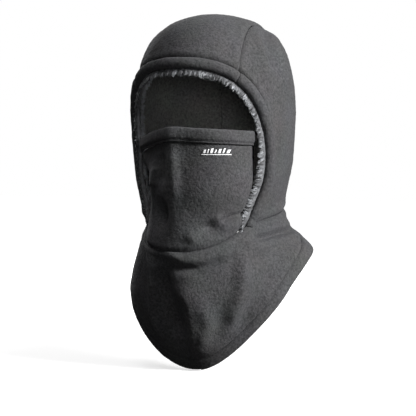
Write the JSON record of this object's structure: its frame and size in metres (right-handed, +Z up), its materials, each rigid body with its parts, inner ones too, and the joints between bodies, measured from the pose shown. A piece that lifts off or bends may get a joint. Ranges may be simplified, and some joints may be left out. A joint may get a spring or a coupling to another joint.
{
  "type": "balaclava",
  "caption": "Fleece ski balaclava: lined hood with a rolled rim and plush edge round the face, a pull-down nose and mouth mask, and a long neck drape.",
  "frame": {"origin": "top of the inside of the hood, where it bears on the crown of the head", "axes": "+Z up, -Y the way the wearer faces, +X the wearer's left"},
  "size_m": [0.2152, 0.2126, 0.4072],
  "materials": {
    "fleece": "matte brushed fleece, dark charcoal grey",
    "fleece_rim": "matte brushed fleece, rolled edge",
    "lining": "smooth short-nap knit, near black",
    "plush": "long mottled grey pile",
    "elastic": "woven elastic tape",
    "thread": "spun polyester thread",
    "reflective_print": "thin pale heat-pressed print",
    "label": "blank woven tab"
  },
  "bodies": {
    "hood": {"crown_panel": "fleece", "side_panel_left": "fleece", "side_panel_right": "fleece", "crown_lining": "lining", "side_lining_left": "lining", "side_lining_right": "lining", "rim_casing_top": "fleece_rim", "rim_casing_left": "fleece_rim", "rim_casing_right": "fleece_rim", "rim_elastic": "elastic", "plush_trim": "plush", "crown_seam_left": "thread", "crown_seam_right": "thread", "neck_seam": "thread", "neck_skirt": "fleece", "skirt_lining": "lining", "bottom_hem": "fleece", "hem_stitching": "thread", "back_seam": "thread", "care_label": "label"},
    "mask": {"mask_panel": "fleece", "mask_lining": "lining", "mask_top_hem": "fleece", "mask_elastic": "elastic", "mask_hem_stitching": "thread", "reflective_mark": "reflective_print"}
  },
  "joints": [
    {"name": "mask_pull", "type": "slide", "parent": "hood", "child": "mask", "axis": [0, 0, -1], "range_m": [0, 0.06], "deforming": ["mask_panel", "mask_lining"]}
  ]
}
